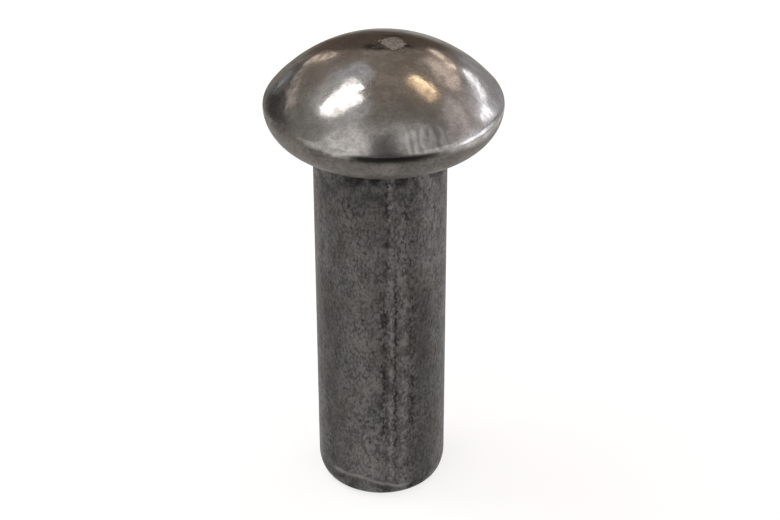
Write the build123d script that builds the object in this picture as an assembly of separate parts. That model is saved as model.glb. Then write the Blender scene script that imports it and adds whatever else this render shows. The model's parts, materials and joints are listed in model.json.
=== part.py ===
"""Solid round-head rivet: one cold-headed piece of plain steel.

A length of drawn wire, sheared off at one end, is upset at the other into a domed head.
The origin is where the shank's axis meets the ring under the head that bears on the work,
and +Z runs up the axis to the top of the crown. Lengths are in millimetres.
"""

import os
from math import asin, atan2, degrees, sqrt

from build123d import *

# Shank: drawn wire, and the edge that the shear draws in at its end
SHANK_DIAMETER = 6.0
SHANK_LENGTH = 18.0
TIP_LEAD_LENGTH = 0.95
TIP_LEAD_DEPTH = 0.4

# Head: a crown struck in the die, and a free edge that bulges under it
HEAD_DIAMETER = 10.6
HEAD_HEIGHT = 4.4
RIM_HEIGHT = 1.6
RIM_RADIUS = 0.5
BEARING_WIDTH = 0.4
NECK_FILLET = 0.2

# The wire lay a little to one side of the die, so the head is off the shank's axis
HEAD_OFFSET = 0.16

# Flat spot beside the top of the crown, where the die was not quite filled
CROWN_FLAT_DIAMETER = 1.1
CROWN_FLAT_OFFSET = 0.6

# Sizes that follow
SHANK_RADIUS = SHANK_DIAMETER / 2
HEAD_RADIUS = HEAD_DIAMETER / 2
NECK_RADIUS = SHANK_RADIUS + NECK_FILLET
BEARING_RADIUS = NECK_RADIUS + BEARING_WIDTH
UNDER_EDGE_WIDTH = HEAD_RADIUS - BEARING_RADIUS
RIM_CENTRE_RADIUS = HEAD_RADIUS - RIM_RADIUS
CROWN_RISE = HEAD_HEIGHT - RIM_HEIGHT


def crown_radius():
    """The arc that tops out at the head's height and runs into the rim's arc without a corner."""
    squares = RIM_CENTRE_RADIUS**2 + CROWN_RISE**2 - RIM_RADIUS**2
    return squares / (2 * (CROWN_RISE - RIM_RADIUS))


def make_shank():
    """Wire from the fillet at its neck, under the head, down to the slim curve of its sheared end."""
    end_radius = SHANK_RADIUS - TIP_LEAD_DEPTH
    lead_start = TIP_LEAD_LENGTH - SHANK_LENGTH
    lead_centre = (end_radius, lead_start)
    with BuildPart() as shank:
        with BuildSketch(Plane.XZ):
            with BuildLine():
                Line((0, 0), (NECK_RADIUS, 0))
                CenterArc((NECK_RADIUS, -NECK_FILLET), NECK_FILLET, 90, 90)
                Line((SHANK_RADIUS, -NECK_FILLET), (SHANK_RADIUS, lead_start))
                EllipticalCenterArc(lead_centre, TIP_LEAD_DEPTH, TIP_LEAD_LENGTH, 270, arc_size=90)
                Line((end_radius, -SHANK_LENGTH), (0, -SHANK_LENGTH))
                Line((0, -SHANK_LENGTH), (0, 0))
            make_face()
        revolve(axis=Axis.Z)
    return shank.part


def make_head():
    """Head about its own axis: flat bearing ring, free edge, tight rim and crown, from the bottom up."""
    radius = crown_radius()
    crown_centre = HEAD_HEIGHT - radius
    rim_angle = degrees(atan2(RIM_HEIGHT - crown_centre, RIM_CENTRE_RADIUS))
    under_centre = (BEARING_RADIUS, RIM_HEIGHT)
    with BuildPart() as head:
        with BuildSketch(Plane.XZ):
            with BuildLine():
                Line((0, 0), (BEARING_RADIUS, 0))
                EllipticalCenterArc(under_centre, UNDER_EDGE_WIDTH, RIM_HEIGHT, 270, arc_size=90)
                CenterArc((RIM_CENTRE_RADIUS, RIM_HEIGHT), RIM_RADIUS, 0, rim_angle)
                CenterArc((0, crown_centre), radius, rim_angle, 90 - rim_angle)
                Line((0, HEAD_HEIGHT), (0, 0))
            make_face()
        revolve(axis=Axis.Z)
        split(bisect_by=crown_flat_plane(radius), keep=Keep.BOTTOM)
    return head.part


def crown_flat_plane(radius):
    """Plane that shaves the flat spot off the crown, square to the crown's surface there."""
    lean = asin(CROWN_FLAT_OFFSET / radius)
    direction = Vector(0, 0, 1).rotate(Axis.Y, degrees(lean))
    distance = sqrt(radius**2 - (CROWN_FLAT_DIAMETER / 2) ** 2)
    centre = Vector(0, 0, HEAD_HEIGHT - radius)
    return Plane(origin=centre + direction * distance, z_dir=direction)


def make_rivet():
    """Head and shank as the one piece they are, the head standing a little to one side."""
    return make_shank() + Pos(HEAD_OFFSET, 0, 0) * make_head()


os.makedirs("parts", exist_ok=True)
export_step(make_rivet(), "parts/rivet.step")
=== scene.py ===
"""Rivet in a small studio: a cold-headed steel rivet standing on its sheared end.

The wire and the head are turned from profiles, joined at the neck and then worked over: the relief
that the die, the drawing and the shear left is pressed into the mesh, and the finishes follow it.
"""

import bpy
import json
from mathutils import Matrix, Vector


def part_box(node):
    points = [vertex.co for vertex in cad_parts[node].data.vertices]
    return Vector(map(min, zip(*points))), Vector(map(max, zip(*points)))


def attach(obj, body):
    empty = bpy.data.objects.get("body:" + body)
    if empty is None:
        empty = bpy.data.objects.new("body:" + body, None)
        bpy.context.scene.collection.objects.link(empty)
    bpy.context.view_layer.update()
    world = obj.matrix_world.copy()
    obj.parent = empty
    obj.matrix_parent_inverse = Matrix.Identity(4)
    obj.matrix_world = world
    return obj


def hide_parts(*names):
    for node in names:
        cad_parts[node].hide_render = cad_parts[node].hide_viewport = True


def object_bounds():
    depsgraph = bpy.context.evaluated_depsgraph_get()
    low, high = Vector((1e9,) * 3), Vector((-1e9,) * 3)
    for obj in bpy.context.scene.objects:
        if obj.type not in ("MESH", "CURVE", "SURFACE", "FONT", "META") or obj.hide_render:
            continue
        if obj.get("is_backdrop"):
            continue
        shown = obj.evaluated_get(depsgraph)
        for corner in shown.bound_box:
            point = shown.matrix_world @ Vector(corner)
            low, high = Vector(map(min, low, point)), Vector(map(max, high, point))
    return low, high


bl_info = {
    "name": "Round-head rivet",
    "version": (1, 0, 0),
    "blender": (4, 5, 0),
    "location": "View3D > Sidebar > Rivet",
    "description": "Models a solid round-head rivet on a pale studio floor",
    "category": "Add Mesh",
}

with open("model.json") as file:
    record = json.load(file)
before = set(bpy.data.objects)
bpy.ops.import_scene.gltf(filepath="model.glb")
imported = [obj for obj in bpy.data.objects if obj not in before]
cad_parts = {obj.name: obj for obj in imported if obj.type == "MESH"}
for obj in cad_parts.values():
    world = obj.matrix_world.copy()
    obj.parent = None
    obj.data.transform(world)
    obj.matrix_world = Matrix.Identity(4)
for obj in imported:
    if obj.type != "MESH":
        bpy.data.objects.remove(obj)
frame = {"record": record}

import json
from collections import namedtuple
from math import asin, atan2, cos, degrees, exp, hypot, pi, radians, sin, sqrt

import bmesh
import bpy
from bpy.props import FloatProperty, FloatVectorProperty, IntProperty, PointerProperty
from mathutils import Matrix, Vector, noise

MM = 0.001
CAD_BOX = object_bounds()
NODE = "rivet"
LOW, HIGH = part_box(NODE)
MOUNTS = {mount["name"]: mount for mount in frame["record"]["mounts"]}
WALL_MIDDLE = MOUNTS["shank"]["pos_m"][2]
WALL_LENGTH = MOUNTS["shank"]["dims"]["length_mm"] * MM
WALL_TOP = WALL_MIDDLE + WALL_LENGTH / 2
WALL_BOTTOM = WALL_MIDDLE - WALL_LENGTH / 2

# Merging distance, far below the smallest edge, and how near to a height counts as being at it
SEAM = 0.1e-6
AT_HEIGHT = SEAM * 10

# Rings of faces along each stretch of the two profiles
CROWN_RINGS = 62
RIM_RINGS = 9
EDGE_RINGS = 26
FILLET_RINGS = 5
WALL_RINGS = 82
LOWER_WALL_RINGS = 12
LEAD_RINGS = 16

# Edges that turn by more than this many degrees stay sharp
SHARP_EDGE = 40


def length(name, description, default):
    """A size in metres that the sidebar shows as a length."""
    return FloatProperty(
        name=name, description=description, default=default, min=0.0, precision=6, unit="LENGTH"
    )


def share(name, description, default):
    """A value from 0 to 1."""
    return FloatProperty(
        name=name, description=description, default=default, min=0.0, max=1.0, subtype="FACTOR"
    )


def tilt(name, description, default):
    """An angle, given in degrees."""
    return FloatProperty(name=name, description=description, default=radians(default), subtype="ANGLE")


def colour(name, description, default):
    """A linear colour."""
    return FloatVectorProperty(
        name=name, description=description, default=default, size=3, min=0.0, max=4.0, subtype="COLOR"
    )


class RivetSizes(bpy.types.PropertyGroup):
    """Sizes of the rivet. Those that the frame holds are read from it."""

    head_radius: length("Head radius", "Half the head's width", (HIGH.y - LOW.y) / 2)
    head_height: length("Head height", "From the bearing ring to the top of the crown", HIGH.z)
    head_offset: length("Head offset", "How far the head stands off the shank's axis", (HIGH.x + LOW.x) / 2)
    rim_height: length("Rim height", "Height of the head's widest line", 1.6 * MM)
    rim_radius: length("Rim radius", "Radius between crown and free edge", 0.5 * MM)
    bearing_width: length("Bearing width", "Width of the flat ring under the head", 0.4 * MM)
    shank_radius: length("Shank radius", "Half the wire's diameter", MOUNTS["shank"]["dims"]["r_mm"] * MM)
    shank_length: length("Shank length", "From the bearing ring to the sheared end", -LOW.z)
    neck_fillet: length("Neck fillet", "Radius where the shank meets the head", -WALL_TOP)
    tip_lead_length: length("Tip lead length", "Length of the drawn-in edge", WALL_BOTTOM - LOW.z)
    tip_lead_depth: length("Tip lead depth", "How far the end's edge is drawn in", 0.4 * MM)
    cap_radius: length("Crown patch radius", "Radius of the fine grid at the top of the crown", 1.4 * MM)
    turns: IntProperty(name="Turns", description="Faces around the axis", default=360, min=32, max=512)


class RivetRelief(bpy.types.PropertyGroup):
    """Depths of what working the metal left on its surface."""

    flat_depth: length("Flat spot", "Depth of the unfilled spot on the crown", 0.03 * MM)
    wave_depth: length("Crown waves", "Depth of the crown's slow unevenness", 0.012 * MM)
    dent_depth: length("Rim dents", "Depth of the dents along the rim", 0.019 * MM)
    ripple_depth: length("Front ripples", "Depth of the ripples on the crown's lower front", 0.004 * MM)
    fold_depth: length("Rim fold", "Depth of the fold along the front of the rim", 0.010 * MM)
    line_depth: length("Die lines", "Depth of the die lines along the shank", 0.03 * MM)
    pit_depth: length("Pits", "Depth of the pits in the drawn surface", 0.012 * MM)
    crease_depth: length("Tip crease", "Depth of the fold that the shear left", 0.05 * MM)
    shear_depth: length("Shear marks", "Depth of the marks across the sheared end", 0.05 * MM)


class RivetFinish(bpy.types.PropertyGroup):
    """Colours and gloss of the steel."""

    crown_light: colour("Crown", "Bright struck steel", (0.59, 0.575, 0.56))
    crown_dark: colour("Crown film", "Thin film of handling on the crown", (0.41, 0.39, 0.37))
    crown_smudge: colour("Crown smudge", "Smudges and grain on the crown", (0.28, 0.265, 0.25))
    spot_light: colour("Flat spot", "Grainy steel in the unfilled spot", (0.57, 0.56, 0.55))
    spot_dark: colour("Flat spot grain", "Darker grains in the unfilled spot", (0.33, 0.317, 0.305))
    edge_light: colour("Edge", "Rubbed steel on the free edge", (0.20, 0.181, 0.164))
    edge_dark: colour("Edge scale", "Scale on the free edge", (0.095, 0.087, 0.08))
    wire_light: colour("Wire", "Rubbed steel on the shank", (0.134, 0.129, 0.123))
    wire_dark: colour("Wire scale", "Dull scale on the shank", (0.062, 0.060, 0.057))
    # Also painted light: the lighter strip on the right of the wire and a painted highlight along the tip
    # crease
    wire_rub_and_highlight: colour("Wire rub", "Steel rubbed bright along the die lines", (0.23, 0.222, 0.21))
    wire_brown: colour("Wire stain", "Brown stain in the scale", (0.078, 0.067, 0.058))
    # Also used as painted shade: under the head, at the tip, in strips down the sides of the wire and along
    # the rim fold
    dirt_and_shade: colour("Dirt", "What lies in lines, pits and corners", (0.012, 0.011, 0.010))
    crown_gloss: share("Crown roughness", "Roughness of the struck crown", 0.135)
    edge_gloss: share("Edge roughness", "Roughness of the free edge", 0.5)
    wire_gloss: share("Wire roughness", "Roughness of the drawn shank", 0.5)


class RivetStudio(bpy.types.PropertyGroup):
    """Camera, floor and surroundings."""

    elevation: tilt("Elevation", "Camera above the horizon", 32.0)
    roll: tilt("Roll", "Camera turned about its own line of sight", -0.1375)
    distance: length("Distance", "Camera to the point it looks at", 95.6 * MM)
    aim_side: length("Aim, sideways", "Point the camera looks at, right of the shank's axis", 0.427 * MM)
    aim_drop: length("Aim, down", "Point the camera looks at, below the bearing ring", 6.59 * MM)
    lens: FloatProperty(
        name="Lens", description="Focal length in millimetres", default=96.28, unit="CAMERA"
    )
    floor_glow: share("Floor glow", "White that the floor shows by itself", 0.72)
    floor_paint: share("Floor paint", "How pale the floor is where the rivet shades it", 0.55)
    room: colour("Room", "Dim surroundings that the crown reflects", (0.25, 0.226, 0.204))
    ring_radius: length("Card ring radius", "Radius of the dim card around the rivet", 45.0 * MM)
    ring_top: length("Card ring top", "Height of the dim card above the bearing ring", 9.0 * MM)


def arc(centre, radii, start, end, steps):
    """Points (radius, height) along an elliptical arc, with angles in radians and the start left out."""
    for step in range(1, steps + 1):
        angle = start + (end - start) * step / steps
        yield centre[0] + radii[0] * cos(angle), centre[1] + radii[1] * sin(angle)


def straight(start, end, steps):
    """Points along a straight stretch of profile, start left out."""
    for step in range(1, steps + 1):
        part = step / steps
        yield start[0] + (end[0] - start[0]) * part, start[1] + (end[1] - start[1]) * part


def crown_radius(s):
    """The arc that tops out at the head's height and runs into the rim's arc without a corner."""
    reach = s.head_radius - s.rim_radius
    rise = s.head_height - s.rim_height
    return (reach**2 + rise**2 - s.rim_radius**2) / (2 * (rise - s.rim_radius))


def patch_edge(s):
    """Height of the ring round the crown's fine patch."""
    radius = crown_radius(s)
    return s.head_height - radius + sqrt(radius**2 - s.cap_radius**2)


def head_profile(s):
    """Head from the crown's fine patch over the rim and round the free edge to the bearing ring."""
    radius = crown_radius(s)
    crown = (0.0, s.head_height - radius)
    rim = (s.head_radius - s.rim_radius, s.rim_height)
    bearing = s.shank_radius + s.neck_fillet + s.bearing_width
    start = pi / 2 - asin(s.cap_radius / radius)
    joint = atan2(rim[1] - crown[1], rim[0])
    yield radius * cos(start), crown[1] + radius * sin(start)
    yield from arc(crown, (radius, radius), start, joint, CROWN_RINGS)
    yield from arc(rim, (s.rim_radius, s.rim_radius), joint, 0.0, RIM_RINGS)
    edge = (s.head_radius - bearing, s.rim_height)
    yield from arc((bearing, s.rim_height), edge, 0.0, -pi / 2, EDGE_RINGS)


def shank_profile(s):
    """Shank from the neck's fillet down the wall and round the drawn-in edge to the end face."""
    neck = s.shank_radius + s.neck_fillet
    lead = (s.shank_radius - s.tip_lead_depth, s.tip_lead_length - s.shank_length)
    yield neck, 0.0
    yield from arc((neck, -s.neck_fillet), (s.neck_fillet, s.neck_fillet), pi / 2, pi, FILLET_RINGS)
    fine = lead[1] + s.tip_lead_length
    yield from straight((s.shank_radius, -s.neck_fillet), (s.shank_radius, fine), WALL_RINGS)
    yield from straight((s.shank_radius, fine), (s.shank_radius, lead[1]), LOWER_WALL_RINGS)
    yield from arc(lead, (s.tip_lead_depth, s.tip_lead_length), 0.0, -pi / 2, LEAD_RINGS)


def only(obj):
    """Makes obj the one selected, active object."""
    bpy.ops.object.select_all(action="DESELECT")
    obj.select_set(True)
    bpy.context.view_layer.objects.active = obj


def pick(obj, test):
    """Selects, in edit mode, the vertices whose place passes the test, with the edges between them."""
    bpy.ops.mesh.select_all(action="DESELECT")
    mesh = bmesh.from_edit_mesh(obj.data)
    for vert in mesh.verts:
        vert.select = test(vert.co)
    mesh.select_flush(True)
    bmesh.update_edit_mesh(obj.data)


def turn(name, profile, axis_x, turns):
    """Draws a profile by extruding one vertex from point to point, and spins it about an upright axis."""
    points = [Vector((axis_x + radius, 0.0, height)) for radius, height in profile]
    bpy.ops.object.select_all(action="DESELECT")
    bpy.ops.mesh.primitive_plane_add(size=MM, location=(0.0, 0.0, 0.0))
    obj = bpy.context.object
    obj.name = name
    bpy.ops.object.mode_set(mode="EDIT")
    bpy.ops.mesh.merge(type="CENTER")
    bpy.ops.transform.translate(value=points[0])
    for here, there in zip(points, points[1:]):
        bpy.ops.mesh.extrude_region_move(TRANSFORM_OT_translate={"value": there - here})
    bpy.ops.mesh.select_all(action="SELECT")
    bpy.ops.mesh.spin(steps=turns, angle=2 * pi, center=(axis_x, 0.0, 0.0), axis=(0.0, 0.0, 1.0))
    bpy.ops.mesh.select_all(action="SELECT")
    bpy.ops.mesh.remove_doubles(threshold=SEAM)
    return obj


def close_ring(obj, height, turns):
    """Fills the open ring at a height with a square grid."""
    pick(obj, lambda co: abs(co.z - height) < AT_HEIGHT)
    bpy.ops.mesh.fill_grid(span=turns // 4)


def apply_modifier(obj, modifier):
    """Applies a modifier to the mesh."""
    only(obj)
    bpy.ops.object.modifier_apply(modifier=modifier.name)


def weigh(obj, name, weight_of):
    """Writes weights from 0 to 1 on the vertices, as a group for modifiers and an attribute for finishes."""
    weights = [min(1.0, max(0.0, weight_of(vert.co / MM))) for vert in obj.data.vertices]
    group = obj.vertex_groups.new(name=name)
    for index, weight in enumerate(weights):
        if weight > 0.0:
            group.add([index], weight, "REPLACE")
    attribute = obj.data.attributes.new(name + "_mask", "FLOAT", "POINT")
    attribute.data.foreach_set("value", weights)


def press(obj, name, depth, weight_of):
    """Presses the surface in by a depth, scaled by a weight at each place (in millimetres)."""
    weigh(obj, name, weight_of)
    modifier = obj.modifiers.new(name, "DISPLACE")
    modifier.vertex_group = name
    modifier.mid_level = 0.0
    modifier.strength = -depth
    apply_modifier(obj, modifier)


def cast_crown(obj, s):
    """Casts the flat grid that closes the crown onto the crown's sphere."""
    radius = crown_radius(s)
    bpy.ops.object.empty_add(location=(s.head_offset, 0.0, s.head_height - radius))
    centre = bpy.context.object
    group = obj.vertex_groups.new(name="crown_patch")
    edge = patch_edge(s) - AT_HEIGHT
    group.add([vert.index for vert in obj.data.vertices if vert.co.z > edge], 1.0, "REPLACE")
    modifier = obj.modifiers.new("crown_patch", "CAST")
    modifier.object = centre
    modifier.use_radius_as_size = False
    modifier.size = radius
    modifier.factor = 1.0
    modifier.vertex_group = group.name
    apply_modifier(obj, modifier)
    bpy.data.objects.remove(centre)


def smooth(low, high, value):
    """0 below low, 1 above high, and an even slope between that starts and ends level."""
    part = min(1.0, max(0.0, (value - low) / (high - low)))
    return part * part * (3 - 2 * part)


def wave(place, size, seed=0.0):
    """Smooth noise from 0 to 1, with lumps of about that size in millimetres."""
    return 0.5 + 0.5 * noise.noise(place / size + Vector((seed, seed, seed)))


def bump(value, middle, width):
    """1 in the middle, falling to 0 on both sides over about a width."""
    off = (value - middle) / width
    return exp(-off * off)


def bumps(value, rows, level=0.0):
    """A level with bumps on it, each with a height, a middle and a width."""
    return sum((height * bump(value, middle, width) for height, middle, width in rows), level)


def bearing_angle(place):
    """Angle about the shank's axis in degrees, 0 at the front and positive to the right."""
    return degrees(atan2(place.x, -place.y))


class RIVET_OT_body(bpy.types.Operator):
    """Model the rivet: turned head and shank, joined at the neck, with its relief and finishes"""

    bl_idname = "rivet.make_body"
    bl_label = "Rivet body"

    def execute(self, context):
        s = context.scene.rivet_sizes
        head = turn("rivet_head", head_profile(s), s.head_offset, s.turns)
        close_ring(head, patch_edge(s), s.turns)
        bpy.ops.object.mode_set(mode="OBJECT")
        cast_crown(head, s)
        shank = turn("rivet_shank", shank_profile(s), 0.0, s.turns)
        close_ring(shank, -s.shank_length, s.turns)
        bpy.ops.object.mode_set(mode="OBJECT")
        only(head)
        shank.select_set(True)
        bpy.ops.object.join()
        body = bpy.context.object
        body.name = "rivet_body"
        bpy.ops.object.mode_set(mode="EDIT")
        pick(body, lambda co: abs(co.z) < AT_HEIGHT)
        bpy.ops.mesh.bridge_edge_loops()
        bpy.ops.mesh.select_all(action="SELECT")
        bpy.ops.mesh.normals_make_consistent(inside=False)
        bpy.ops.object.mode_set(mode="OBJECT")
        work_surface(body, s, context.scene.rivet_relief)
        only(body)
        bpy.ops.object.shade_smooth_by_angle(angle=radians(SHARP_EDGE))
        dress(body, s, context.scene.rivet_finish)
        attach(body, "root")
        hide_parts(NODE)
        return {"FINISHED"}


# Relief, in millimetres, and in degrees round from the front to the right.
# Bumps have a height, a middle and a width. Soft limits have a start and an end.
COARSE = 0.6
FINE = 0.4
CROWN_BELOW = 0.1
CROWN_ABOVE = 0.3
DENT_LEVEL = 0.3
DENT_BUMPS = ((0.7, 100, 45), (0.9, -110, 38))
DENT_BAND = (3.4, 4.4)
RIPPLE_BAND = (4.3, 4.7)
RIPPLE_RISE = 0.25
RIPPLE_LEFT = (8, 12)
RIPPLE_RIGHT = (37, 30)
RIPPLE_GAPS = (0.12, 0.58)
RIPPLE_FIRST = 13.7
RIPPLE_PITCH = 4.6
RIPPLE_SWAY = 1.6
FOLD_LIFT = 0.05
FOLD_ABOVE = 0.10
FOLD_BELOW = 0.26
FOLD_LEFT = (-26, -8)
FOLD_RIGHT = (44, 10)
EDGE_LIFT = 0.03
EDGE_BUMPS = ((0.31, -56, 21), (-0.20, 53, 17), (0.04, 3, 14))
EDGE_BLUR = 0.09
EDGE_BLUR_BUMPS = ((0.16, -75, 30), (0.22, 54, 24))
PIT_LIMIT = (0.60, 0.85)
CREASE_LIFT = 1.06
CREASE_WIDTH = 0.08
CREASE_SWAY = 0.06
CREASE_LEFT = (-56, -44)
CREASE_RIGHT = (34, 18)
CREASE_DROPS = ((0.28, -20, 3), (0.25, 3, 18))
SHEAR_BORDER = 0.4
SHEAR_FULL = 0.9
SHEAR_STRETCH = (0.35, 3.0)

# Depth of the end face's skin, and how the drawing stretches patterns along the wire
END_SKIN = 0.02
DRAWN = 0.6

# Flat spot: right of and behind the head's axis, half widths, and how far under the top it reaches
SPOT_MIDDLE = (0.44, 0.11)
SPOT_HALF = (0.51, 0.70)
SPOT_POWER = 1.5
SPOT_BORDER = (1.12, 0.76)
SPOT_REACH = 0.4
SPECK_MIDDLE = (-0.22, 0.36)
SPECK_HALF = (0.22, 0.3)
SPECK_LIMIT = (0.62, 0.72)

# Dirt round the flat spot: right of and behind the head's axis, and half widths
SPOT_DIRT = (
    (1.08, -0.08, 0.22, 0.24),
    (-0.55, -0.22, 0.36, 0.26),
    (-0.10, -0.46, 0.40, 0.14),
    (0.45, 0.94, 0.60, 0.15),
)
SPOT_DIRT_LIMIT = (0.30, 0.60)

# Die lines: degrees round, half width, and where in the noise their gaps start
DIE_LINES = (
    (12.9, 0.05, 1.5),
    (27.5, 0.06, 7.0),
    (-150.0, 0.06, 2.0),
)
DIE_LINE_TOP = -0.4
DIE_LINE_LIFT = 0.3
DIE_LINE_SWAY = 0.8
DIE_LINE_GAPS = (0.35, 0.65)


def work_surface(body, s, relief):
    """Presses in what heading, drawing and shearing left on the steel, and marks where each finish goes."""
    rim = s.rim_height / MM
    end = -s.shank_length / MM
    top = s.head_height / MM
    head = Vector((s.head_offset / MM, 0.0, 0.0))
    wall = s.shank_radius / MM

    def on_crown(place):
        return smooth(rim - CROWN_BELOW, rim + CROWN_ABOVE, place.z)

    def crown_waves(place):
        return on_crown(place) * (COARSE * wave(place, 1.5) + FINE * wave(place, 0.5, 3.0))

    def rim_dents(place):
        away = place - head
        side = bumps(bearing_angle(away), DENT_BUMPS, DENT_LEVEL)
        band = smooth(*DENT_BAND, hypot(away.x, away.y)) * on_crown(place)
        return side * band * (COARSE * wave(place, 0.55, 11.0) + FINE * wave(place, 0.25, 4.0))

    def front_zone(place):
        away = place - head
        angle = bearing_angle(away)
        band = smooth(*RIPPLE_BAND, hypot(away.x, away.y)) * smooth(rim, rim + RIPPLE_RISE, place.z)
        broken = smooth(*RIPPLE_GAPS, wave(place, 0.5, 13.0))
        return smooth(*RIPPLE_LEFT, angle) * smooth(*RIPPLE_RIGHT, angle) * band * broken

    def ripple_height(place):
        angle = bearing_angle(place - head) + RIPPLE_SWAY * noise.noise(place * 2.1)
        return 0.5 + 0.5 * cos(2 * pi * (angle - RIPPLE_FIRST) / RIPPLE_PITCH)

    def front_ripples(place):
        return front_zone(place) * ripple_height(place)

    def front_ridges(place):
        return front_zone(place) * (1 - ripple_height(place))

    def rim_fold(place):
        angle = bearing_angle(place - head)
        off = place.z - rim - FOLD_LIFT
        line = bump(off, 0.0, FOLD_ABOVE if off > 0 else FOLD_BELOW)
        return line * smooth(*FOLD_LEFT, angle) * smooth(*FOLD_RIGHT, angle)

    def flat_spot(place):
        if place.z < top - SPOT_REACH:
            return 0.0
        away = place - head
        across = abs(away.x - SPOT_MIDDLE[0]) / SPOT_HALF[0]
        along = abs(away.y - SPOT_MIDDLE[1]) / SPOT_HALF[1]
        ragged = 0.28 * noise.noise(place * 2.2) + 0.20 * noise.noise(place * 6.0)
        return smooth(*SPOT_BORDER, across**SPOT_POWER + along**SPOT_POWER + ragged)

    def spot_dirt(place):
        if place.z < top - SPOT_REACH:
            return 0.0
        away = place - head
        total = sum(bump(away.x, x, wide) * bump(away.y, y, deep) for x, y, wide, deep in SPOT_DIRT)
        return total * smooth(*SPOT_DIRT_LIMIT, wave(place, 0.18, 2.0) + 0.2 * total)

    def spot_specks(place):
        if place.z < top - SPOT_REACH:
            return 0.0
        away = place - head
        near = bump(away.x, SPECK_MIDDLE[0], SPECK_HALF[0]) * bump(away.y, SPECK_MIDDLE[1], SPECK_HALF[1])
        return near * smooth(*SPECK_LIMIT, wave(place, 0.12, 6.0))

    def dull_edge(place):
        if place.z < 0.0:
            return 0.0
        angle = bearing_angle(place - head)
        border = rim + EDGE_LIFT + bumps(angle, EDGE_BUMPS)
        border += 0.10 * noise.noise(place * 1.6)
        border += 0.05 * noise.noise(place * 5.0)
        blur = bumps(angle, EDGE_BLUR_BUMPS, EDGE_BLUR)
        return smooth(border + blur, border - blur, place.z)

    def die_lines(place):
        if not end + DIE_LINE_LIFT < place.z < DIE_LINE_TOP:
            return 0.0
        total = 0.0
        for middle, width, start in DIE_LINES:
            angle = middle + DIE_LINE_SWAY * noise.noise(Vector((middle, 0.0, place.z * 1.1)))
            line = bump(radians(bearing_angle(place) - angle) * wall, 0.0, width)
            broken = smooth(*DIE_LINE_GAPS, wave(Vector((middle, 0.0, place.z)), 0.7, start))
            total += line * broken
        return total

    def pits(place):
        if place.z > 0.0 or place.z < end + END_SKIN:
            return 0.0
        stretched = Vector((place.x, place.y, place.z * DRAWN))
        return smooth(*PIT_LIMIT, wave(stretched, 0.22)) * wave(place, 0.9, 5.0)

    def tip_crease(place):
        angle = bearing_angle(place)
        height = end + CREASE_LIFT
        for drop, left, right in CREASE_DROPS:
            height -= drop * smooth(left, right, angle)
        line = bump(place.z - height + CREASE_SWAY * noise.noise(place * 2.0), 0.0, CREASE_WIDTH)
        return line * smooth(*CREASE_LEFT, angle) * smooth(*CREASE_RIGHT, angle)

    def shear_marks(place):
        if place.z > end + END_SKIN:
            return 0.0
        inside = smooth(wall - SHEAR_BORDER, wall - SHEAR_FULL, hypot(place.x, place.y))
        across, along = place.x * SHEAR_STRETCH[0], place.y * SHEAR_STRETCH[1]
        return inside * wave(Vector((across, along, 1.0)), 1.0)

    press(body, "crown_waves", relief.wave_depth, crown_waves)
    press(body, "rim_dents", relief.dent_depth, rim_dents)
    press(body, "front_ripples", relief.ripple_depth, front_ripples)
    press(body, "rim_fold", relief.fold_depth, rim_fold)
    press(body, "flat_spot", relief.flat_depth, flat_spot)
    press(body, "die_lines", relief.line_depth, die_lines)
    press(body, "pits", relief.pit_depth, pits)
    press(body, "tip_crease", relief.crease_depth, tip_crease)
    press(body, "shear_marks", relief.shear_depth, shear_marks)
    # Mask for the painted highlights on the ridges of the front ripples
    weigh(body, "front_ridges", front_ridges)
    weigh(body, "spot_dirt", spot_dirt)
    weigh(body, "spot_specks", spot_specks)
    weigh(body, "dull_edge", dull_edge)


class Graph:
    """Adds nodes to a tree, with values or links on their inputs."""

    def __init__(self, tree):
        self.tree = tree

    def node(self, kind, inputs=None, **settings):
        node = self.tree.nodes.new("ShaderNode" + kind)
        for name, value in settings.items():
            setattr(node, name, value)
        for key, value in (inputs or {}).items():
            if isinstance(value, bpy.types.NodeSocket):
                self.tree.links.new(value, node.inputs[key])
            else:
                node.inputs[key].default_value = value
        return node

    def math(self, operation, first, second=0.0):
        return self.node("Math", {0: first, 1: second}, operation=operation).outputs[0]

    def ramp(self, value, low, high, to_low=0.0, to_high=1.0):
        inputs = {"Value": value, "From Min": low, "From Max": high, "To Min": to_low, "To Max": to_high}
        return self.node("MapRange", inputs, interpolation_type="SMOOTHSTEP").outputs[0]

    def mix(self, factor, first, second):
        return self.node("Mix", {0: factor, 6: first, 7: second}, data_type="RGBA").outputs[2]

    def blend(self, factor, first, second):
        return self.node("Mix", {0: factor, 2: first, 3: second}, data_type="FLOAT").outputs[0]

    def noise(self, vector, scale, detail=2.0, roughness=0.5):
        inputs = {"Vector": vector, "Scale": scale, "Detail": detail, "Roughness": roughness}
        return self.node("TexNoise", inputs).outputs["Fac"]

    def line_noise(self, along, scale, detail):
        inputs = {"W": along, "Scale": scale, "Detail": detail}
        return self.node("TexNoise", inputs, noise_dimensions="1D").outputs["Fac"]

    def mask(self, name):
        return self.node("Attribute", attribute_name=name + "_mask").outputs["Fac"]

    def group(self, tree, inputs):
        return self.node("Group", inputs, node_tree=tree).outputs[0]


def rgba(value):
    """A colour with full alpha."""
    return (*value, 1.0)


def new_group(name, inputs, output, kind="Float"):
    """An empty shader node group with a vector input, named value inputs and one output."""
    tree = bpy.data.node_groups.new(name, "ShaderNodeTree")
    tree.interface.new_socket("Vector", in_out="INPUT", socket_type="NodeSocketVector")
    for label, default in inputs.items():
        socket = tree.interface.new_socket(label, in_out="INPUT", socket_type="NodeSocketFloat")
        socket.default_value = default
    tree.interface.new_socket(output, in_out="OUTPUT", socket_type="NodeSocket" + kind)
    entry = tree.nodes.new("NodeGroupInput")
    leave = tree.nodes.new("NodeGroupOutput")
    return Graph(tree), entry.outputs, leave.inputs[0]


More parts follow.
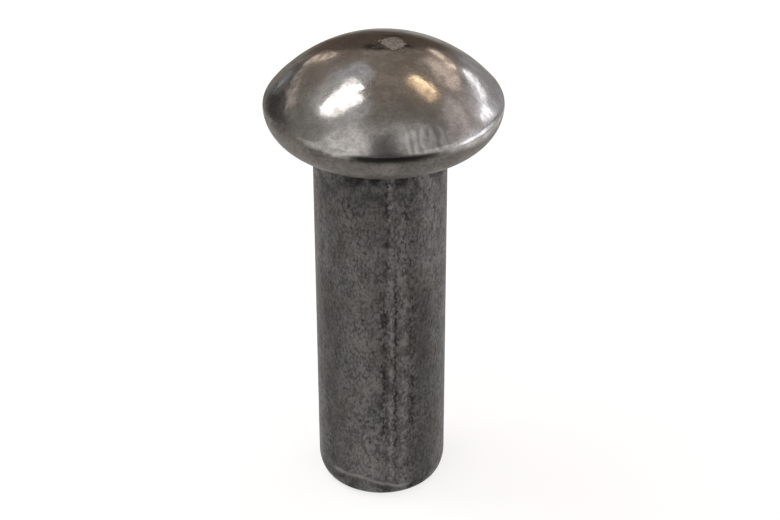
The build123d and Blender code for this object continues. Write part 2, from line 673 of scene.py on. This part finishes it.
# Detail and roughness of the noise in mottle and pits, and where their values start and end
MOTTLE_BLOTCH = (3.0, 0.55)
MOTTLE_GRAIN = (2.0, 0.6)
MOTTLE_LIMIT = (0.3, 0.7)
PIT_NOISE = (1.0, 0.5)
PIT_LEVEL = 0.85
PIT_SPREAD = 0.4
PIT_SLOPE = 0.08

# Scale and detail of the noise that sways and breaks a streak, and how softly gaps and ends fade
SWAY_NOISE = (1.7, 3.0)
SWAY_GAIN = 4.0
GAP_NOISE = (1.3, 4.0)
GAP_SEED = 31.0
GAP_BELOW = 0.1
GAP_ABOVE = 0.08
STREAK_FADE = 2.0
STREAK_SEED = 7


def mottle_group():
    """Blotches of scale with a finer grain over them, from 0 (scale) to 1 (rubbed steel)."""
    inputs = {"Blotch": 2.0, "Grain": 9.0, "Grain Share": 0.6}
    graph, given, out = new_group("scale_mottle", inputs, "Mottle")
    blotch = graph.noise(given["Vector"], given["Blotch"], *MOTTLE_BLOTCH)
    grain = graph.noise(given["Vector"], given["Grain"], *MOTTLE_GRAIN)
    tone = graph.blend(given["Grain Share"], blotch, grain)
    graph.tree.links.new(graph.ramp(tone, *MOTTLE_LIMIT), out)
    return graph.tree


def pits_group():
    """Small dark pits, from 0 (none) to 1 (bottom of a pit)."""
    graph, given, out = new_group("fine_pits", {"Scale": 9.0, "Amount": 0.4}, "Pits")
    spots = graph.noise(given["Vector"], given["Scale"], *PIT_NOISE)
    low = graph.math("SUBTRACT", PIT_LEVEL, graph.math("MULTIPLY", given["Amount"], PIT_SPREAD))
    graph.tree.links.new(graph.ramp(spots, low, graph.math("ADD", low, PIT_SLOPE)), out)
    return graph.tree


def streak_group():
    """An upright streak on the shank at a distance round from the front, with gaps, from 0 to 1."""
    inputs = {"Around": 0.0, "Half Width": 0.05, "Wander": 0.06, "Pace": 1.0, "Gaps": 0.5, "Start": 0.0}
    inputs |= {"Top": 1.0, "Bottom": -19.0}
    graph, given, out = new_group("shank_streak", inputs, "Streak")
    part = graph.node("SeparateXYZ", {0: given["Vector"]}).outputs
    turned = graph.math("ARCTAN2", part["X"], graph.math("MULTIPLY", part["Y"], -1.0))
    flat = graph.node("CombineXYZ", {"X": part["X"], "Y": part["Y"]}).outputs[0]
    radius = graph.node("VectorMath", {0: flat}, operation="LENGTH").outputs["Value"]
    round_to = graph.math("MULTIPLY", turned, radius)
    along = graph.math("ADD", graph.math("MULTIPLY", part["Z"], given["Pace"]), given["Start"])
    sway = graph.math("SUBTRACT", graph.line_noise(along, *SWAY_NOISE), 0.5)
    sway = graph.math("MULTIPLY", sway, graph.math("MULTIPLY", given["Wander"], SWAY_GAIN))
    off = graph.math("SUBTRACT", graph.math("SUBTRACT", round_to, given["Around"]), sway)
    near = graph.ramp(graph.math("ABSOLUTE", off), given["Half Width"], 0.0)
    whole = graph.line_noise(graph.math("ADD", along, GAP_SEED), *GAP_NOISE)
    low = graph.math("SUBTRACT", given["Gaps"], GAP_BELOW)
    high = graph.math("ADD", given["Gaps"], GAP_ABOVE)
    whole = graph.ramp(whole, low, high)
    below = graph.ramp(part["Z"], given["Top"], graph.math("SUBTRACT", given["Top"], STREAK_FADE))
    above = graph.ramp(part["Z"], given["Bottom"], graph.math("ADD", given["Bottom"], STREAK_FADE))
    stretch = graph.math("MULTIPLY", below, above)
    graph.tree.links.new(graph.math("MULTIPLY", graph.math("MULTIPLY", near, whole), stretch), out)
    return graph.tree


def new_finish(name):
    """A material with a metal shader, and object coordinates in millimetres to draw its patterns on."""
    material = bpy.data.materials.new(name)
    material.use_nodes = True
    graph = Graph(material.node_tree)
    shader = material.node_tree.nodes["Principled BSDF"]
    shader.inputs["Metallic"].default_value = 1.0
    place = graph.node("TexCoord").outputs["Object"]
    vector = graph.node("Mapping", {"Vector": place, "Scale": [1 / MM] * 3}).outputs["Vector"]
    return material, graph, shader, vector


def raise_bump(graph, shader, height, depth):
    """Bump on the shader from a height between 0 and 1 and its depth in metres."""
    bumped = graph.node("Bump", {"Height": height, "Distance": depth, "Strength": 1.0})
    graph.tree.links.new(bumped.outputs["Normal"], shader.inputs["Normal"])


# Noise in the finishes: scale per millimetre, detail and roughness
FILM = (0.7, 5.0, 0.62)
SMUDGE = (1.9, 5.0, 0.62)
GRAIN = (9.0, 2.0, 0.6)
SWELL = (1.8, 5.0, 0.5)
SPOT_GRAIN = (6.0, 4.0, 0.7)
STAIN = (0.45, 3.0, 0.6)
BLOTCH = (1.3, 3.0, 0.5)

# How patterns cover the steel: their low and high value, and the share of cover at each
FILM_COVER = (0.35, 0.65)
SMUDGE_COVER = (0.42, 0.64, 0.0, 0.62)
GRAIN_COVER = (0.40, 0.72, 0.0, 0.40)
SPOT_COVER = (0.36, 0.62)
# Painted highlights on the ridges of the front ripples, and painted shade in their troughs
RIDGE_HIGHLIGHT = (0.35, 1.0, 0.0, 0.70)
RIPPLE_SHADE = (0.3, 1.0, 0.0, 0.75)
# Painted shade along the rim fold
FOLD_SHADE = (0.15, 0.95, 0.0, 0.92)
STAIN_COVER = (0.45, 0.7, 0.0, 0.6)
# Cover of the rubbed strips and of the painted light on the right of the wire
RUB_AND_LIGHT_COVER = (0.1, 0.8, 0.3, 1.0)
SPECKLE_COVER = (0.75, 0.25)
BLOTCH_COVER = (0.38, 0.66)
# Painted shade under the head: the wire darkens towards the bearing ring
NECK_SHADE = (-2.7, -0.4, 0.0, 0.95)
# Painted shade at the sheared end: the wire darkens towards the tip
TIP_SHADE = (-16.8, -17.5, 0.0, 0.95)
SPECK_SHARE = 0.4
SPOT_DIRT_SHARE = 0.75
PIT_SHARE = 0.55

# What film, smudges, rough places and scale do to the roughness
GLOSS_LIMIT = (0.3, 0.7)
FILM_GLOSS = (0.8, 1.4)
SMUDGE_GLOSS = (0.7, 1.5)
ROUGH_GLOSS = 0.35
DENT_GLOSS = 0.12
SCALE_GLOSS = 0.1
RUBBED_GLOSS = -0.05

# Depth of the fine bump on each finish, and shares of specks and grain in it
HEAD_BUMP = 0.007 * MM
WIRE_BUMP = 0.006 * MM
SPECK_BUMP = 0.2
SPOT_BUMP = 1.5


def head_finish(finish, mottle, pits):
    """Bright struck crown under a film of handling, its grainy flat spot, and the dull free edge; painted
    highlights and shade on the front ripples, and painted shade along the rim fold.
    """
    material, graph, shader, vector = new_finish("head_steel")
    film = graph.noise(vector, *FILM)
    smudge = graph.noise(vector, *SMUDGE)
    grain = graph.noise(vector, *GRAIN)
    specks = graph.group(pits, {"Vector": vector, "Scale": 6.0, "Amount": 0.3})
    specked = graph.math("MULTIPLY", specks, SPECK_SHARE)
    crown = graph.mix(graph.ramp(film, *FILM_COVER), rgba(finish.crown_light), rgba(finish.crown_dark))
    crown = graph.mix(graph.ramp(smudge, *SMUDGE_COVER), crown, rgba(finish.crown_smudge))
    crown = graph.mix(graph.ramp(grain, *GRAIN_COVER), crown, rgba(finish.crown_smudge))
    crown = graph.mix(specked, crown, rgba(finish.dirt_and_shade))
    spot = graph.mask("flat_spot")
    spot_grain = graph.ramp(graph.noise(vector, *SPOT_GRAIN), *SPOT_COVER)
    spot_tone = graph.mix(spot_grain, rgba(finish.spot_dark), rgba(finish.spot_light))
    spot_dirt = graph.math("MULTIPLY", graph.mask("spot_dirt"), SPOT_DIRT_SHARE)
    crown = graph.mix(spot_dirt, crown, rgba(finish.dirt_and_shade))
    crown = graph.mix(spot, crown, spot_tone)
    spot_specks = graph.mask("spot_specks")
    crown = graph.mix(spot_specks, crown, rgba(finish.spot_light))
    # Painted highlights on the ridges of the front ripples
    ridge_highlights = graph.ramp(graph.mask("front_ridges"), *RIDGE_HIGHLIGHT)
    crown = graph.mix(ridge_highlights, crown, rgba(finish.spot_light))
    # Painted shade in the troughs of the front ripples
    ripples = graph.ramp(graph.mask("front_ripples"), *RIPPLE_SHADE)
    crown = graph.mix(ripples, crown, rgba(finish.crown_smudge))
    tone = graph.group(mottle, {"Vector": vector, "Blotch": 0.9, "Grain": 6.0, "Grain Share": 0.5})
    edge = graph.mix(tone, rgba(finish.edge_dark), rgba(finish.edge_light))
    edge = graph.mix(specked, edge, rgba(finish.dirt_and_shade))
    dull = graph.mask("dull_edge")
    base = graph.mix(dull, crown, edge)
    fold = graph.mask("rim_fold")
    # Painted shade: a dark line along the rim fold
    base = graph.mix(graph.ramp(fold, *FOLD_SHADE), base, rgba(finish.dirt_and_shade))
    graph.tree.links.new(base, shader.inputs["Base Color"])
    least, most = (finish.crown_gloss * part for part in FILM_GLOSS)
    gloss = graph.ramp(film, *GLOSS_LIMIT, least, most)
    gloss = graph.math("MULTIPLY", gloss, graph.ramp(smudge, *GLOSS_LIMIT, *SMUDGE_GLOSS))
    rough = graph.math("MAXIMUM", graph.math("MAXIMUM", spot, spot_specks), fold)
    gloss = graph.math("ADD", gloss, graph.math("MULTIPLY", rough, ROUGH_GLOSS))
    gloss = graph.math("ADD", gloss, graph.math("MULTIPLY", graph.mask("rim_dents"), DENT_GLOSS))
    graph.tree.links.new(graph.blend(dull, gloss, finish.edge_gloss), shader.inputs["Roughness"])
    pitted = graph.math("MULTIPLY", specks, SPECK_BUMP)
    height = graph.math("SUBTRACT", graph.noise(vector, *SWELL), pitted)
    grainy = graph.math("MULTIPLY", grain, graph.math("MULTIPLY", spot, SPOT_BUMP))
    raise_bump(graph, shader, graph.math("ADD", height, grainy), HEAD_BUMP)
    return material


Streak = namedtuple("Streak", "around half_width wander pace gaps top bottom share")

# Streaks along the wire: millimetres round from the front, and between two heights under the head
# Rubbed strips beside the die lines, and one wide strip of painted light on the right of the wire (2.55 mm
# round)
RUBBED_AND_LIT = (
    Streak(-0.9, 1.3, 0.06, 1.0, 0.20, -2.0, -18.0, 0.28),
    Streak(0.46, 0.17, 0.10, 1.2, 0.40, 0.5, -18.5, 0.60),
    Streak(1.06, 0.30, 0.14, 1.3, 0.44, -4.0, -19.0, 0.44),
    Streak(0.80, 0.55, 0.06, 1.0, 0.25, 1.0, -7.0, 0.30),
    Streak(2.55, 1.20, 0.06, 1.0, 0.10, 1.5, -8.0, 0.48),
    Streak(-0.4, 0.90, 0.10, 1.0, 0.30, -13.5, -18.5, 0.30),
)
# Painted shade: darker strips down the right and the left side of the wire
PAINTED_SHADE_STRIPS = (
    Streak(2.05, 1.1, 0.06, 1.0, 0.2, -5.0, -19.0, 0.30),
    Streak(-2.75, 1.2, 0.06, 1.0, 0.2, -6.0, -19.0, 0.26),
)
DARK_LINES = (
    Streak(0.675, 0.085, 0.08, 1.6, 0.48, -4.5, -16.5, 0.95),
    Streak(0.10, 0.06, 0.12, 1.9, 0.54, -5.5, -16.0, 0.9),
    Streak(1.40, 0.07, 0.14, 1.6, 0.54, 0.5, -16.5, 0.90),
    Streak(-7.85, 0.09, 0.06, 1.2, 0.48, -1.0, -17.0, 0.95),
)
DARK_BANDS = (
    Streak(0.14, 0.32, 0.10, 1.2, 0.40, -5.5, -15.5, 0.65),
    Streak(1.50, 0.30, 0.10, 1.3, 0.44, -5.5, -15.5, 0.65),
    Streak(1.15, 0.28, 0.10, 1.3, 0.44, 0.5, -6.5, 0.60),
    Streak(0.30, 0.26, 0.10, 1.6, 0.45, 1.0, -7.0, 0.60),
)


def lay_streak(graph, group, vector, streak):
    """A streak along the wire, from 0 to its share."""
    inputs = {"Vector": vector, "Around": streak.around, "Half Width": streak.half_width}
    inputs |= {"Wander": streak.wander, "Pace": streak.pace, "Gaps": streak.gaps}
    inputs |= {"Start": streak.around * STREAK_SEED, "Top": streak.top, "Bottom": streak.bottom}
    return graph.math("MULTIPLY", graph.group(group, inputs), streak.share)


def wire_finish(finish, mottle, pits, streak):
    """Dull drawn steel: fine scale, stains, pits, dirt in the die lines and rubbed strips, with painted
    shade and painted light.
    """
    material, graph, shader, vector = new_finish("wire_steel")
    drawn = graph.node("Mapping", {"Vector": vector, "Scale": (1.0, 1.0, DRAWN)}).outputs["Vector"]
    height = graph.node("SeparateXYZ", {0: vector}).outputs["Z"]
    tone = graph.group(mottle, {"Vector": drawn, "Blotch": 1.9, "Grain": 8.5, "Grain Share": 0.66})
    base = graph.mix(tone, rgba(finish.wire_dark), rgba(finish.wire_light))
    stain = graph.ramp(graph.noise(vector, *STAIN), *STAIN_COVER)
    base = graph.mix(stain, base, rgba(finish.wire_brown))
    rub_and_light_cover = graph.ramp(tone, *RUB_AND_LIGHT_COVER)
    # Rubbed wear, and painted light on the right of the wire
    for strip in RUBBED_AND_LIT:
        rubbed = graph.math("MULTIPLY", lay_streak(graph, streak, vector, strip), rub_and_light_cover)
        base = graph.mix(rubbed, base, rgba(finish.wire_rub_and_highlight))
    # Painted shade down the sides of the wire
    for strip in PAINTED_SHADE_STRIPS:
        base = graph.mix(lay_streak(graph, streak, vector, strip), base, rgba(finish.dirt_and_shade))
    pitted = graph.group(pits, {"Vector": drawn, "Scale": 7.0, "Amount": 0.55})
    dark = graph.math("MULTIPLY", pitted, PIT_SHARE)
    for line in DARK_LINES:
        dark = graph.math("MAXIMUM", dark, lay_streak(graph, streak, vector, line))
    speckle = graph.ramp(tone, *SPECKLE_COVER)
    for band in DARK_BANDS:
        shade = graph.math("MULTIPLY", lay_streak(graph, streak, vector, band), speckle)
        dark = graph.math("MAXIMUM", dark, shade)
    blotch = graph.ramp(graph.noise(vector, *BLOTCH), *BLOTCH_COVER)
    # Painted shade under the head, broken up by blotches
    neck = graph.math("MULTIPLY", graph.ramp(height, *NECK_SHADE), blotch)
    # Painted shade at the tip, broken up by blotches
    tip_shade = graph.math("MULTIPLY", graph.ramp(height, *TIP_SHADE), blotch)
    dark = graph.math("MAXIMUM", dark, graph.math("MAXIMUM", neck, tip_shade))
    # Dirt in pits, die lines and dark bands, and painted shade under the head and at the tip
    base = graph.mix(dark, base, rgba(finish.dirt_and_shade))
    # Painted highlight along the tip crease
    base = graph.mix(graph.mask("tip_crease"), base, rgba(finish.wire_rub_and_highlight))
    graph.tree.links.new(base, shader.inputs["Base Color"])
    gloss = graph.ramp(tone, 0.0, 1.0, finish.wire_gloss + SCALE_GLOSS, finish.wire_gloss + RUBBED_GLOSS)
    graph.tree.links.new(gloss, shader.inputs["Roughness"])
    raise_bump(graph, shader, graph.math("SUBTRACT", tone, dark), WIRE_BUMP)
    return material


def dress(body, s, finish):
    """Gives head and shank their finishes."""
    mottle, pits, streak = mottle_group(), pits_group(), streak_group()
    finishes = head_finish(finish, mottle, pits), wire_finish(finish, mottle, pits, streak)
    for material in finishes:
        body.data.materials.append(material)
    for face in body.data.polygons:
        face.material_index = int(face.center.z < -s.neck_fillet / 2)


Lamp = namedtuple("Lamp", "name start end width tint radiance")
Patch = namedtuple("Patch", "turned up inner outer tone")

# Lamps stretch between two directions, each in degrees round from the camera to the right and degrees up
LAMPS = (
    Lamp("key_window", (-91, 50), (-138, 66), 12, (1.0, 0.985, 0.97), 3.6),
    Lamp("key_window_side", (-90, 55), (-104, 75), 8, (1.0, 0.985, 0.97), 2.6),
    Lamp("amber_upper", (147, 61), (114, 53), 6, (1.0, 0.76, 0.47), 2.5),
    Lamp("amber_lower", (141, 65), (103, 57), 6, (1.0, 0.72, 0.44), 1.35),
    Lamp("side_strip_back", (148, 15), (129, 17), 7, (0.95, 0.96, 1.0), 2.3),
    Lamp("side_strip_front", (127, 14), (110, 21), 6, (0.96, 0.97, 1.0), 1.8),
    Lamp("back_left_glow", (-157, 27), (-156, 10), 6, (1.0, 0.83, 0.70), 0.95),
    Lamp("far_left_glow", (-151, 13), (-119, 24), 6, (1.0, 0.85, 0.76), 0.36),
    Lamp("left_arc", (-150, 43), (-122, 44), 3, (1.0, 0.86, 0.76), 0.18),
    Lamp("back_right_glow", (163, 19), (147, 25), 5, (1.0, 0.81, 0.66), 1.25),
)

# Distance of the lamps, width of the floor and reach of the camera, in metres
LAMP_DISTANCE = 0.2
FLOOR_WIDTH = 8.0
CAMERA_REACH = 20.0

# Sides of the card ring, and between which heights of the view the white backdrop turns into the room
RING_SIDES = 128
HORIZON = (0.05, 0.10)
WHITE = (1.0, 1.0, 1.0, 1.0)

# Soft round patches of the room by direction, each over the last.
# Each is full inside its inner radius and gone outside its outer radius, both in degrees.
PATCHES = (
    Patch(180, 50, 25, 50, (0.31, 0.262, 0.222)),
    Patch(0, -40, 105, 111, (0.80, 0.78, 0.765)),
    Patch(36, 46, 8, 22, (0.66, 0.65, 0.655)),
    Patch(-42, 50, 6, 20, (0.90, 0.875, 0.85)),
    Patch(-46, 28, 4, 12, (0.66, 0.64, 0.625)),
    Patch(-94, 34, 8, 18, (0.28, 0.268, 0.255)),
    Patch(-82, 42, 4, 12, (0.29, 0.278, 0.265)),
    Patch(-118, 47, 3, 14, (0.50, 0.49, 0.48)),
    Patch(63, 42, 8, 17, (0.40, 0.388, 0.382)),
    Patch(28, 60, 4, 12, (0.74, 0.725, 0.715)),
    Patch(181, 11, 17, 25, (0.125, 0.096, 0.077)),
    Patch(172, -15, 8, 20, (0.42, 0.40, 0.385)),
    Patch(-84, 65, 8, 20, (0.55, 0.535, 0.53)),
    Patch(-146, 56, 3, 17, (0.56, 0.57, 0.59)),
    Patch(-143, 7, 6, 14, (0.055, 0.055, 0.056)),
    Patch(-128, 11, 6, 14, (0.055, 0.054, 0.053)),
    Patch(-112, 14, 5, 13, (0.085, 0.083, 0.081)),
    Patch(-147, 4, 1, 4, (0.55, 0.56, 0.58)),
    Patch(-142, 5, 1, 4, (0.55, 0.56, 0.58)),
    Patch(-145, 36, 2, 8, (0.36, 0.31, 0.275)),
    Patch(101, 32, 9, 24, (0.64, 0.575, 0.56)),
    Patch(148, 32, 4, 11, (0.90, 0.73, 0.63)),
    Patch(136, 38, 4, 11, (0.90, 0.74, 0.65)),
    Patch(138, 0, 12, 26, (0.42, 0.41, 0.43)),
    Patch(122, 17, 6, 15, (0.85, 0.85, 0.92)),
    Patch(89, 19, 6, 16, (0.92, 0.90, 0.96)),
    Patch(79, -1, 5, 14, (2.3, 2.3, 2.5)),
    Patch(97, -2, 5, 13, (2.0, 2.0, 2.25)),
    Patch(5, -12, 14, 38, (0.07, 0.066, 0.065)),
    Patch(3, 10, 12, 20, (0.07, 0.066, 0.066)),
    Patch(3, 22, 11, 18, (0.085, 0.079, 0.079)),
    Patch(3, 34, 10, 16, (0.10, 0.092, 0.092)),
    Patch(2, 44, 9, 14, (0.12, 0.11, 0.11)),
    Patch(1, 54, 8, 13, (0.16, 0.148, 0.148)),
)


def direction(turned, up):
    """Unit vector from the rivet: degrees round from the camera's side to the right, and degrees up."""
    a, e = radians(turned), radians(up)
    return Vector((sin(a) * cos(e), -cos(a) * cos(e), sin(e)))


def hang_lamp(lamp, centre):
    """Adds a lamp that faces the rivet's head."""
    start, end = (centre + direction(*way) * LAMP_DISTANCE for way in (lamp.start, lamp.end))
    middle = (start + end) / 2
    out = (middle - centre).normalized()
    across = (end - start).normalized()
    up = out.cross(across)
    data = bpy.data.lights.new(lamp.name, "AREA")
    data.shape = "RECTANGLE"
    data.size = (end - start).length
    data.size_y = 2 * LAMP_DISTANCE * sin(radians(lamp.width / 2))
    data.color = lamp.tint
    data.energy = lamp.radiance * pi * data.size * data.size_y
    obj = bpy.data.objects.new(lamp.name, data)
    obj.matrix_world = Matrix.Translation(middle) @ Matrix((across, up, out)).transposed().to_4x4()
    bpy.context.scene.collection.objects.link(obj)


def lay_floor(studio, height):
    """A pale floor that is white to the eye and to reflections, and keeps the rivet's shadow."""
    bpy.ops.object.select_all(action="DESELECT")
    bpy.ops.mesh.primitive_plane_add(size=FLOOR_WIDTH, location=(0.0, 0.0, height))
    floor = bpy.context.object
    floor.name = "floor"
    bpy.ops.object.transform_apply(location=True, rotation=True, scale=True)
    material = bpy.data.materials.new("pale_floor")
    material.use_nodes = True
    material.node_tree.nodes.clear()
    graph = Graph(material.node_tree)
    ray = graph.node("LightPath").outputs
    seen = graph.math("MAXIMUM", ray["Is Camera Ray"], ray["Is Glossy Ray"])
    seen = graph.math("MAXIMUM", seen, ray["Is Transmission Ray"])
    paint = graph.node("BsdfDiffuse", {"Color": rgba([studio.floor_paint] * 3)}).outputs[0]
    glow = graph.node("Emission", {"Strength": graph.math("MULTIPLY", seen, studio.floor_glow)}).outputs[0]
    graph.node("OutputMaterial", {"Surface": graph.node("AddShader", {0: paint, 1: glow}).outputs[0]})
    floor.data.materials.append(material)
    floor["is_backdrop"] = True


def room_group(studio):
    """Colour of the dim room in a direction."""
    graph, given, out = new_group("room_tone", {}, "Tone", "Color")
    tone = rgba(studio.room)
    for patch in PATCHES:
        way = {0: given["Vector"], 1: direction(patch.turned, patch.up)}
        near = graph.node("VectorMath", way, operation="DOT_PRODUCT").outputs["Value"]
        within = graph.ramp(near, cos(radians(patch.outer)), cos(radians(patch.inner)))
        tone = graph.mix(within, tone, rgba(patch.tone))
    graph.tree.links.new(tone, out)
    return graph.tree


def light_room(room):
    """The room, with a white backdrop down at the horizon."""
    world = bpy.data.worlds.new("room")
    bpy.context.scene.world = world
    world.use_nodes = True
    world.node_tree.nodes.clear()
    graph = Graph(world.node_tree)
    way = graph.node("TexCoord").outputs["Generated"]
    height = graph.node("SeparateXYZ", {0: way}).outputs["Z"]
    above = graph.ramp(height, *HORIZON)
    tone = graph.mix(above, WHITE, graph.group(room, {"Vector": way}))
    shown = graph.node("Background", {"Color": tone, "Strength": 1.0}).outputs[0]
    graph.node("OutputWorld", {"Surface": shown})


def stand_ring(studio, s, room):
    """A low ring of dim card that only reflections see, which gives the crown the room's dark edges."""
    bottom = -s.shank_length
    depth = studio.ring_top - bottom
    bpy.ops.object.select_all(action="DESELECT")
    bpy.ops.mesh.primitive_cylinder_add(
        vertices=RING_SIDES, radius=studio.ring_radius, depth=depth, end_fill_type="NOTHING",
        location=(0.0, 0.0, bottom + depth / 2),
    )
    ring = bpy.context.object
    ring.name = "dim_card_ring"
    bpy.ops.object.transform_apply(location=True, rotation=True, scale=True)
    material = bpy.data.materials.new("dim_card")
    material.use_nodes = True
    material.node_tree.nodes.clear()
    graph = Graph(material.node_tree)
    from_head = {0: graph.node("TexCoord").outputs["Object"], 1: (0.0, 0.0, s.head_height / 2)}
    way = graph.node("VectorMath", from_head, operation="SUBTRACT").outputs["Vector"]
    way = graph.node("VectorMath", {0: way}, operation="NORMALIZE").outputs["Vector"]
    glow = graph.node("Emission", {"Color": graph.group(room, {"Vector": way}), "Strength": 1.0}).outputs[0]
    graph.node("OutputMaterial", {"Surface": glow})
    ring.data.materials.append(material)
    ring.visible_camera = False
    ring.visible_diffuse = False
    ring.visible_transmission = False
    ring.visible_shadow = False
    ring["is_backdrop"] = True


def stand_camera(studio):
    """The camera, in front and above, turned a hair about its own line of sight."""
    data = bpy.data.cameras.new("camera")
    data.lens = studio.lens
    data.clip_start = MM
    data.clip_end = CAMERA_REACH
    back = direction(0.0, degrees(studio.elevation))
    camera = bpy.data.objects.new("camera", data)
    turned = (-back).to_track_quat("-Z", "Y").to_matrix().to_4x4() @ Matrix.Rotation(studio.roll, 4, "Z")
    aim = Vector((studio.aim_side, 0.0, -studio.aim_drop))
    camera.matrix_world = Matrix.Translation(aim + back * studio.distance) @ turned
    bpy.context.scene.collection.objects.link(camera)
    bpy.context.scene.camera = camera


class RIVET_OT_stage(bpy.types.Operator):
    """Set the stage: pale floor, soft lamps, dim room and the camera"""

    bl_idname = "rivet.make_stage"
    bl_label = "Studio stage"

    def execute(self, context):
        studio, s = context.scene.rivet_studio, context.scene.rivet_sizes
        lay_floor(studio, -s.shank_length)
        room = room_group(studio)
        light_room(room)
        stand_ring(studio, s, room)
        centre = Vector((s.head_offset, 0.0, s.head_height))
        for lamp in LAMPS:
            hang_lamp(lamp, centre)
        stand_camera(studio)
        context.scene.view_settings.view_transform = "Standard"
        return {"FINISHED"}


class RIVET_PT_sidebar(bpy.types.Panel):
    """Sizes, relief and finishes of the rivet, and the buttons that make it"""

    bl_idname = "RIVET_PT_sidebar"
    bl_label = "Rivet"
    bl_space_type = "VIEW_3D"
    bl_region_type = "UI"
    bl_category = "Rivet"

    def draw(self, context):
        layout = self.layout
        for operator in (RIVET_OT_body, RIVET_OT_stage):
            layout.operator(operator.bl_idname)
        for name, kind in SETTINGS.items():
            box = layout.box()
            for label in kind.__annotations__:
                box.prop(getattr(context.scene, name), label)


SETTINGS = {
    "rivet_sizes": RivetSizes,
    "rivet_relief": RivetRelief,
    "rivet_finish": RivetFinish,
    "rivet_studio": RivetStudio,
}
CLASSES = (*SETTINGS.values(), RIVET_OT_body, RIVET_OT_stage, RIVET_PT_sidebar)


def register():
    for kind in CLASSES:
        bpy.utils.register_class(kind)
    for name, kind in SETTINGS.items():
        setattr(bpy.types.Scene, name, PointerProperty(type=kind))


def unregister():
    for name in SETTINGS:
        delattr(bpy.types.Scene, name)
    for kind in reversed(CLASSES):
        bpy.utils.unregister_class(kind)


def main():
    register()
    bpy.ops.rivet.make_body()
    bpy.ops.rivet.make_stage()
    boxes = {"cad": CAD_BOX, "visual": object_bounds()}
    {name: [list(corner) for corner in box] for name, box in boxes.items()}


if __name__ == "__main__":
    main()
